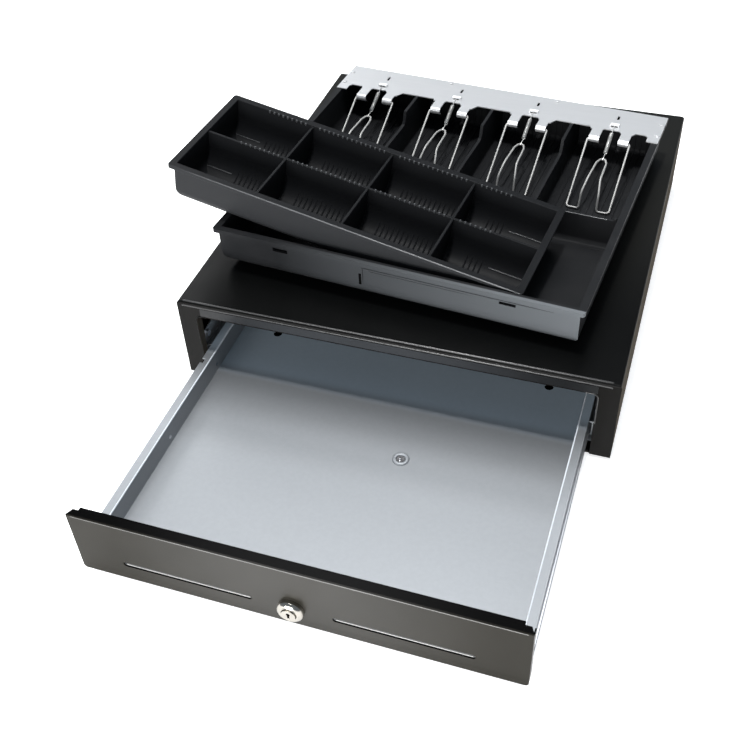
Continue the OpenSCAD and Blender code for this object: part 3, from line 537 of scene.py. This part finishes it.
def bend(pts, r, step=15):
    """Points of a path with its corners rounded to radius r."""
    pts = [Vector(p) for p in pts]
    out = [pts[0]]
    for i in range(1, len(pts) - 1):
        d1 = (pts[i] - pts[i - 1]).normalized()
        d2 = (pts[i + 1] - pts[i]).normalized()
        w = d1.angle(d2, 0.0)
        if w < rad(2):
            out.append(pts[i])
            continue
        rr = r[i] if isinstance(r, (list, tuple)) else r
        t = min(rr * math.tan(w / 2), 0.48 * (pts[i] - pts[i - 1]).length, 0.48 * (pts[i + 1] - pts[i]).length)
        rr = t / math.tan(w / 2)
        n = (d2 - d1.dot(d2) * d1).normalized()
        k = max(1, math.ceil(math.degrees(w) / step))
        for j in range(k + 1):
            a = w * j / k
            out.append(pts[i] - t * d1 + rr * (math.sin(a) * d1 + (1 - math.cos(a)) * n))
    out.append(pts[-1])
    return out


def refined(node, width, mat, seg=2, limit=28, smooth=40, name=None, skip=None, fold=None):
    """A copy of a CAD node with its flat faces made whole and its sharp edges rounded to width mm."""
    me = N[node].data.copy()
    bm = bmesh.new()
    bm.from_mesh(me)
    bmesh.ops.remove_doubles(bm, verts=bm.verts, dist=2e-6)
    bmesh.ops.dissolve_limit(bm, angle_limit=rad(0.5), use_dissolve_boundaries=False, verts=bm.verts, edges=bm.edges)
    bm.normal_update()
    if fold:
        first = [e for e in bm.edges if len(e.link_faces) == 2 and e.calc_face_angle(0) > rad(limit) and fold[0](e)]
        bmesh.ops.bevel(bm, geom=first, offset=fold[1] / 1000, segments=1, profile=0.5, affect="EDGES", clamp_overlap=False)
        bm.normal_update()
    edges = [e for e in bm.edges if len(e.link_faces) == 2 and e.calc_face_angle(0) > rad(limit) and (skip is None or not skip(e))]
    bmesh.ops.bevel(bm, geom=edges, offset=width / 1000, segments=seg, profile=0.5, affect="EDGES", clamp_overlap=True)
    bm.to_mesh(me)
    bm.free()
    me.materials.clear()
    me.materials.append(mat)
    me.shade_smooth()
    me.set_sharp_from_angle(angle=rad(smooth))
    o = bpy.data.objects.new(name or node + "_fine", me)
    bpy.context.scene.collection.objects.link(o)
    wn = o.modifiers.new("weights", "WEIGHTED_NORMAL")
    wn.keep_sharp = True
    wn.weight = 80
    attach(o, N[node]["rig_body"])
    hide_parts(node)
    return o


def dress(node, mat, smooth=30):
    """Gives a CAD node that stays as it is a procedural finish."""
    me = N[node].data
    me.materials.clear()
    me.materials.append(mat)


# ---------------------------------------------------------------- camera
cam_data = bpy.data.cameras.new("camera")
cam_data.lens = 50.187
cam_data.sensor_width = 36
cam_data.clip_start = 0.01
cam = bpy.data.objects.new("camera", cam_data)
bpy.context.scene.collection.objects.link(cam)
right = Vector((0.9482819, 0.3151917, -0.0376260))
down = Vector((0.1919560, -0.6638070, -0.7228507))
ahead = Vector((-0.2528129, 0.6782437, -0.6899791))
m = Matrix((right, -down, -ahead)).transposed().to_4x4()
m.translation = W(227.577, -868.980, 702.200)
cam.matrix_world = m
bpy.context.scene.camera = cam

# ---------------------------------------------------------------- housing
hy, hz = hlo.y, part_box("housing_shell")[1].z
refined("housing_shell", 0.5, paint, seg=3, fold=(lambda e: all(abs(v.co.y - hy) < 2e-5 and abs(v.co.z - hz) < 2e-5 for v in e.verts), 2.9))
# the fold beads and the right-hand opening lip take a lighter, glossier copy of the housing coat, so they read as
# painted highlights; the left lip keeps the plain coat
beads = Build()
for y, z in ((-222.0, 90.75), (-224.75, 87.7)):
    beads.tube([(-199.5, y, z - 0.5), (-198.5, y, z), (196.5, y, z), (197.5, y, z - 0.5)], 0.85, n=14)
for sx in (1,):
    beads.tube(bend([(sx * 176, -225.0, 76.9), (sx * 186.9, -225.0, 76.9), (sx * 186.9, -225.0, 42)], 5, 12), 0.65, n=10)
beads.emit("front_folds", BASE, "housing", fold_highlight_paint, "housing_paint", smooth=60)
lip = Build()
lip.tube(bend([(-176, -225.0, 76.9), (-186.9, -225.0, 76.9), (-186.9, -225.0, 42)], 5, 12), 0.65, n=10)
lip.emit("opening_lip_left", BASE, "housing", paint, "housing_paint", smooth=60)
# painted reflection: a thin pale strip over the header above the opening, standing in for the tray floor reflected in
# it
head = Build()
hv = [(x, y, z) for z, y in ((77.8, -225.0), (77.8, -225.4), (86.4, -225.4), (86.4, -225.0)) for x in (-182, 186)]
head.add(hv, [(0, 1, 3, 2), (2, 3, 5, 4), (4, 5, 7, 6), (6, 7, 1, 0), (0, 2, 4, 6), (1, 7, 5, 3)])
head.emit("header_reflection_strip", BASE, "housing", header_reflection_paint, "housing_paint", smooth=20)
for n in ("base_plate", "back_panel"):
    refined(n, 0.3, paint)
refined("rubber_feet", 0.5, rubber)
for n in ("foot_screws", "rail_screws", "latch_screws", "drawer_rivets", "lock_nut", "latch_pin"):
    refined(n, 0.2, screw_steel)
refined("shell_screws", 0.25, black_screw)
plo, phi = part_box("pivot_washer")
pc = ((plo.x + phi.x) / 2, (plo.y + phi.y) / 2, plo.z)
MM = Matrix.Translation(pc) @ S
wb = Build()
wb.lathe([(3.9, 0.05), (7.75, 0.05), (7.7, 0.35), (7.2, 0.95), (6.6, 1.35), (5.9, 1.5), (5.0, 1.45), (4.4, 1.2), (3.95, 0.8)], 56)
wb.emit("pivot_ring", MM, N["pivot_washer"]["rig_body"], galv, "galvanised", ("pivot_washer",), smooth=60)
refined("pivot_screw", 0.15, dark_steel)
tip = Build()
tip.lathe([(0.0, -0.6), (1.0, -0.6), (1.0, 0.7), (0.7, 1.0), (0.0, 1.05)], 20, (-0.5, -0.2, 0))
tip.add([(-1.5, -3.2, -0.2), (-0.3, -3.2, -0.2), (0.1, -0.5, -0.2), (-1.1, -0.5, -0.2), (-1.5, -3.2, 0.35), (-0.3, -3.2, 0.35), (0.1, -0.5, 0.6), (-1.1, -0.5, 0.6)], [(0, 3, 2, 1), (4, 5, 6, 7), (0, 1, 5, 4), (1, 2, 6, 5), (2, 3, 7, 6), (3, 0, 4, 7)])
tip.emit("pivot_tongue", MM, N["pivot_screw"]["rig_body"], screw_steel, "screw_steel", smooth=40)
for n in ("rail_bracket_left", "rail_bracket_right", "latch_bracket", "striker", "lock_link", "latch_lever", "solenoid_frame"):
    refined(n, 0.25, bracket_steel)
for n in ("outer_rail_left", "outer_rail_right", "inner_rail_left", "inner_rail_right", "ball_cage_left", "ball_cage_right"):
    refined(n, 0.15, rail_steel)
refined("solenoid_coil", 0.3, coil_tape)
refined("solenoid_plunger", 0.3, screw_steel)
for n in ("kicker_tube", "kicker_rod", "microswitch", "cable_socket"):
    refined(n, 0.3, abs_black)
refined("switch_button", 0.2, red_plastic)
dress("socket_lead", rubber)

# ---------------------------------------------------------------- drawer
refined("drawer_tray", 0.3, tray_steel)
# painted highlight: pale lines along the inner top edges of the tray walls
edge = Build()
for sx in (-1, 1):
    edge.tube([(sx * 173.75, -456.2, 35.0), (sx * 173.75, -108.0, 35.0)], 0.75, n=12)
edge.emit("tray_wall_edges", BASE, "drawer", tray_edge, "galvanised", smooth=60)
refined("media_chutes", 0.2, chute)
fy0, fz1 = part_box("drawer_front")[0].y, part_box("drawer_front")[1].z
refined("drawer_front", 0.5, front_paint, seg=3, fold=(lambda e: all(abs(v.co.y - fy0) < 2e-5 and abs(v.co.z - fz1) < 2e-5 for v in e.verts), 0.9))
FY, LZ = -466.7, 26.5
lips = Build()
for cx0 in (-88.7, 88.7):
    for a, b in ((cx0 - 54.6, cx0 + 54.6),):
        prof2 = [(FY + 1.35, 22.6), (FY + 1.35, 23.7), (FY + 1.9, 24.2), (FY + 4.6, 26.2), (FY + 5.2, 25.8), (FY + 2.6, 22.6)]
        k = len(prof2)
        v = [(x, y, z) for x in (a, b) for y, z in prof2]
        lips.add(v, [list(range(k)), list(range(k, 2 * k))] + [[i, (i + 1) % k, k + (i + 1) % k, k + i] for i in range(k)])
lips.emit("chute_lips", BASE, "drawer", lip_steel, "galvanised", smooth=20)
# painted highlight: a thin pale line along each chute lip inside the slots
line = Build()
for cx0 in (-88.7, 88.7):
    line.tube([(cx0 - 53.4, FY + 1.6, 23.95), (cx0 + 53.4, FY + 1.6, 23.95)], 0.36, n=10)
line.emit("chute_lip_edges", BASE, "drawer", lip_edge, "galvanised", smooth=60)
tabs = Build()
for sx in (-1, 1):
    out = [(184.2, FY + 0.4), (183.8, FY + 2.0), (181.4, FY + 6.6), (176.4, FY + 6.6), (176.4, FY + 0.4)]
    v = [(sx * x, y, z) for z in (73.1, 74.0) for x, y in out]
    k = len(out)
    tabs.add(v, [list(range(k)), list(range(k, 2 * k))] + [[i, (i + 1) % k, k + (i + 1) % k, k + i] for i in range(k)])
tabs.emit("front_corner_tabs", BASE, "drawer", front_paint, "front_paint", smooth=20)
# painted highlight: a thin pale line along the drawer front's top fold
rim = Build()
rim.tube([(-180.5, FY + 0.12, 72.6), (-60, FY + 0.12, 72.6), (60, FY + 0.12, 72.6), (180.5, FY + 0.12, 72.6)], [0.3, 0.4, 0.42, 0.38], n=12)
rim.emit("front_edge_highlight_line", BASE, "drawer", edge_line_highlight_paint, "front_paint", smooth=60)


def fillet(cx, cz, r, a0, a1, n=6):
    return [(cx + r * math.cos(rad(a0 + (a1 - a0) * i / n)), cz + r * math.sin(rad(a0 + (a1 - a0) * i / n))) for i in range(n + 1)]


lk = Build()
prof = [(6.05, -10.5), (8.6, -10.5), (8.6, 0.0), (11.0, 0.0), (11.1, 0.3), (11.1, 1.9)] + fillet(6.9, 2.3, 4.2, 5, 72, 10) + [(8.0, 6.5), (7.0, 6.5), (6.4, 6.3), (6.05, 5.6)]
lk.lathe(prof, 64, (0, FY, LZ), (0, -1, 0))
lk.emit("lock_bezel", BASE, "drawer", chrome, "lock_chrome", ("lock_body",), smooth=32)
refined("lock_core", 0.2, chrome)

# ---------------------------------------------------------------- till
refined("till_tray", 0.6, till_abs, seg=3)
refined("clip_plate", 0.2, zinc)
refined("plate_rivets", 0.4, zinc, seg=3)
cap = Build()
for x in (-129, -43, 43, 129):
    a, b, c, d, z0, z1 = x - 4.7, x + 4.7, 131.1, 135.5, 47.6, 48.02
    o = 0.35
    v = [(a, c, z0), (b, c, z0), (b, d, z0), (a, d, z0), (a + o, c + o, z1), (b - o, c + o, z1), (b - o, d - o, z1), (a + o, d - o, z1)]
    cap.add(v, [(0, 3, 2, 1), (4, 5, 6, 7), (0, 1, 5, 4), (1, 2, 6, 5), (2, 3, 7, 6), (3, 0, 4, 7)])
cap.emit("bridge_tops", TILL, "till", bridge_zinc, "zinc_plate", smooth=20)
refined("coin_tray", 0.5, coin_abs, seg=3)

# front wall of the till: a low ledge that starts at the slit, and the slit's raised lip
wall = Build()
BY = 162.2
wall.tube([(-26.6, -BY - 0.1, 19.0), (-26.6, -BY - 0.1, 28.0), (-26.6, -BY - 0.1, 35.6)], [0.3, 0.75, 0.75], n=10)
wall.tube([(-26.6, -BY - 0.05, 35.6), (118, -BY - 0.05, 35.6), (150, -BY + 0.1, 35.6)], [0.75, 0.75, 0.3], n=10)
wall.tube([(-20, -BY + 0.05, 33.4), (60, -BY + 0.05, 33.4), (84, -BY + 0.3, 33.4)], [0.5, 0.5, 0.3], n=8)
wall.emit("till_front_ledge", TILL, "till", till_abs, "black_plastic", smooth=60)
# painted shade: a near-black block set into the slit, standing in for the shadow within it
slit = Build()
slit.add([(x, y, z) for x in (-30.1, -28.0) for y in (-BY - 0.6, -BY + 1.0) for z in (17.2, 29.0)], [(0, 1, 3, 2), (4, 6, 7, 5), (0, 4, 5, 1), (2, 3, 7, 6), (0, 2, 6, 4), (1, 5, 7, 3)])
slit.emit("till_slit_shade", TILL, "till", slit_dark, "black_plastic", smooth=20)
# nub beside the cross wall and a faint mould mark in the front bay
nub = Build()
nub.lathe([(0, -1.4), (1.9, -1.4), (1.9, 1.2), (1.5, 1.7), (0, 1.8)], 24, (166.2, -12.6, 35.0))
nub.tube([(146, -20, 3.05), (156, -20.5, 3.05), (165, -21.5, 3.05)], 0.35, n=6)
nub.emit("till_nub", TILL, "till", till_abs, "black_plastic")
# painted highlight: a pale line along the cross wall's top edge
cw = Build()
cw.tube([(86, -13.3, 33.7), (110, -13.3, 33.7), (158.5, -13.3, 33.7)], [0.3, 0.55, 0.6], n=10)
cw.emit("cross_wall_edge", TILL, "till", abs_highlight_paint, "black_plastic", smooth=60)

# fine ribs in the banknote bays: along the floor and up the rear wall
ribs = Build()
ix, iy = 170.2, 159.8
for lo, hi in ((-ix, -87.5), (-84.5, -1.5), (1.5, 84.5), (87.5, ix)):
    mid, half = (lo + hi) / 2, 36
    k = -5
    for k in range(-5, 6):
        x = mid + k * 6.4
        if (x < -ix + 8) or (x > ix - 8):
            continue
        arc = [(x, iy - 5.6 + 5.6 * math.sin(a), 8.6 - 5.6 * math.cos(a)) for a in [rad(t) for t in range(0, 91, 18)]]
        ribs.tube([(x, 2, 2.7), (x, 5, 3.05)] + [(x, iy - 8, 3.05)] + arc + [(x, iy, 30), (x, iy - 0.0, 40)], 0.75, n=6)
ribs.emit("bay_ribs", TILL, "till", till_abs, "black_plastic")

# ribs in the coin cups: down the rear wall, over the floor and up the front scoop
cr = Build()
# painted highlights: pale lines along the rib tops, the front rim and the end-cup ledges, in a lighter copy of the
# black plastic
lit = Build()
cx, cy, ch = 174.0, 64.5, 42.0
zf, R = -ch + 2.2, 22.0
cols = ((-cx + 6.8, -86.2), (-83.8, -1.2), (1.2, 83.8), (86.2, cx - 6.8))
rows = ((-cy + 6.7, -0.1), (2.3, cy - 6.7))
for ci, (x0, x1) in enumerate(cols):
    for y0, y1 in rows:
        xs = [x0 + (x1 - x0) * 0.5 + 4.9 * k for k in range(-8, 9)]
        for x in xs:
            if x < max(x0 + 2.5, -136) or x > min(x1 - 2.5, 124):
                continue
            lit.tube([(x, y1 - 0.25, 0.25), (x, y1 - 0.25, -1.3), (x, y1 + 0.1, -2.6)], [0.85, 0.95, 0.4], n=6)
        for x in xs:
            if x < max(x0 + 16, -136) or x > min(x1 - 9, 124):
                continue
            back = [(x, y1 - R + R * math.cos(a), zf + R - R * math.sin(a)) for a in [rad(t) for t in range(38, 91, 13)]]
            cr.tube(back + [(x, y1 - R - 8, zf), (x, y1 - R - 13, zf - 0.5)], [0.3] + [0.85] * (len(back)) + [0.3], n=6)
lit.tube([(-cx + 4, -cy + 0.35, -0.35), (-40, -cy + 0.3, -0.3), (cx - 3, -cy + 0.25, -0.25)], [0.25, 0.5, 0.6], n=10)
# low ledges in the end cups, drawn as pale lines: painted highlights
for x0, x1 in ((-cx + 8.5, -138), (129, cx - 8.5)):
    for y0, y1 in rows:
        a = rad(52)
        y, z = y1 - R + R * math.cos(a), zf + R - R * math.sin(a)
        lit.tube([(x0, y, z), (x0 + 1.5, y, z + 0.1), (x1 - 1.5, y, z + 0.1), (x1, y, z)], 0.42, n=8)
cr.emit("cup_ribs", COIN, "coin", coin_abs, "black_plastic")
lit.emit("coin_bright_edges", COIN, "coin", abs_highlight_paint, "black_plastic", smooth=60)

# ---------------------------------------------------------------- wire clips and their springs
ST = (-129, -43, 43, 129)
PVY, PVZ = 109.0, 42.4
CBY, CBZ = 38.0, 4.7
for i, sx in enumerate(ST, 1):
    b = Build()
    half = [(10.5, PVY, PVZ), (21.5, PVY, PVZ), (21.5, CBY, CBZ), (9, CBY, CBZ), (8.6, 43, 21), (6.2, 55, 30.6), (5, 84, 31), (2.4, 91.4, 31)]
    rr_ = [0, 2.6, 3.2, 2.6, 10, 12, 8, 3.2]
    p = [(sx - x, y, z) for x, y, z in half] + [(sx + x, y, z) for x, y, z in half[::-1]]
    b.tube(bend(p, rr_ + rr_[::-1], 12), 1.02, n=14, up=(0, 1, 0.3))
    b.emit(f"clip_wire_{i}", TILL, f"clip_{i}", wire_mat, "wire_steel", (f"bill_clip_{i}",))
    s = Build()
    a0, a1 = Vector((sx, 120.2, 44.1)), Vector((sx, 98.5, 34.0))
    d = (a1 - a0).normalized()
    u = Vector((1, 0, 0))
    w = d.cross(u)
    turns, per = 17, 12
    coil = []
    for k in range(turns * per + 1):
        t = k / (turns * per)
        a = 2 * math.pi * k / per
        coil.append(a0 + (a1 - a0) * t + 1.65 * (math.cos(a) * u + math.sin(a) * w))
    head = [Vector((sx, 134.2, 46.1)), Vector((sx, 133.6, 46.5)), Vector((sx, 124.6, 46.5)), Vector((sx, 123.2, 46.0)), Vector((sx + 0.2, 121.4, 45.0))]
    tail = [Vector((sx, 97.4, 33.6)), Vector((sx, 94.5, 33.0)), Vector((sx, 92.0, 33.2)), Vector((sx, 90.2, 32.0)), Vector((sx, 90.6, 29.9))]
    s.tube(head + coil + tail, 0.42, n=6, up=(0, 0, 1))
    s.emit(f"spring_wire_{i}", TILL, "till", spring_mat, "spring_steel", (f"clip_spring_{i}",))

# springs at the back
for name, node, body, c, y0, y1, r, turns in (
    ("plunger_spring_wire", "plunger_spring", "housing", (0, 48), None, None, 5.85, 5),
    ("kicker_spring_wire", "kicker_spring", "housing", (-30, 22), None, None, 5.4, 6),
):
    lo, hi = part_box(node)
    s = Build()
    n = 20
    pts = []
    for k in range(turns * n + 1):
        a = 2 * math.pi * k / n
        t = k / (turns * n)
        pts.append(Vector(((lo.x + hi.x) / 2 + (r / 1000) * math.cos(a), lo.y + 0.0005 + (hi.y - lo.y - 0.001) * t, (lo.z + hi.z) / 2 + (r / 1000) * math.sin(a))))
    s.tube(pts, 0.00045, n=8, up=(0, 1, 0))
    s.emit(name, Matrix.Identity(4), body, spring_mat, "spring_steel", (node,))

# ---------------------------------------------------------------- stage
fl = bpy.data.meshes.new("floor")
fl.from_pydata([(-25, -25, -0.0003), (25, -25, -0.0003), (25, 25, -0.0003), (-25, 25, -0.0003)], [], [(0, 1, 2, 3)])
pale = surface("pale_floor", (0.86, 0.86, 0.86), 0.6, spec=0.1, tint=(0.87, 0.87, 0.87), tint_scale=3)
pale.node_tree.nodes["Principled BSDF"].inputs["Emission Color"].default_value = (1, 1, 1, 1)
pale.node_tree.nodes["Principled BSDF"].inputs["Emission Strength"].default_value = 0.7
fl.materials.append(pale)
floor = bpy.data.objects.new("floor", fl)
bpy.context.scene.collection.objects.link(floor)

# a plain pale screen far behind, for low viewpoints only: it lights nothing
sc = bpy.data.meshes.new("screen")
ring = [(24.5 * math.cos(rad(a)), 24.5 * math.sin(rad(a))) for a in range(0, 360, 6)]
sc.from_pydata([(x, y, z) for z in (-0.0002, 16.0) for x, y in ring], [], [(i, (i + 1) % 60, 60 + (i + 1) % 60, 60 + i) for i in range(60)])
sc.materials.append(pale)
screen = bpy.data.objects.new("screen", sc)
bpy.context.scene.collection.objects.link(screen)
screen.visible_diffuse = screen.visible_glossy = screen.visible_transmission = screen.visible_shadow = False

world = bpy.data.worlds.new("studio")
bpy.context.scene.world = world
world.use_nodes = True
bg = world.node_tree.nodes["Background"]
bg.inputs["Color"].default_value = (0.76, 0.87, 1.0, 1)
bg.inputs["Strength"].default_value = 0.31


def area(name, at, aim, size, power, colour=(1, 1, 1), size_y=None):
    d = bpy.data.lights.new(name, "AREA")
    d.energy = power
    d.color = colour
    d.size = size
    if size_y:
        d.shape = "RECTANGLE"
        d.size_y = size_y
    o = bpy.data.objects.new(name, d)
    bpy.context.scene.collection.objects.link(o)
    o.location = at
    o.rotation_euler = (Vector(aim) - Vector(at)).to_track_quat("-Z", "Y").to_euler()
    return o


area("overhead", W(0, -235, 2200), W(0, -235, 0), 0.16, 30)
area("key", W(-250, 320, 2100), W(0, -150, 0), 1.3, 30)
area("left_window", W(-1350, 1300, 1300), W(-100, -100, 60), 0.9, 14)
area("front_soft", W(-350, -2400, 620), W(0, -300, 60), 1.6, 62, size_y=0.9)

bpy.context.scene.view_settings.view_transform = "Standard"
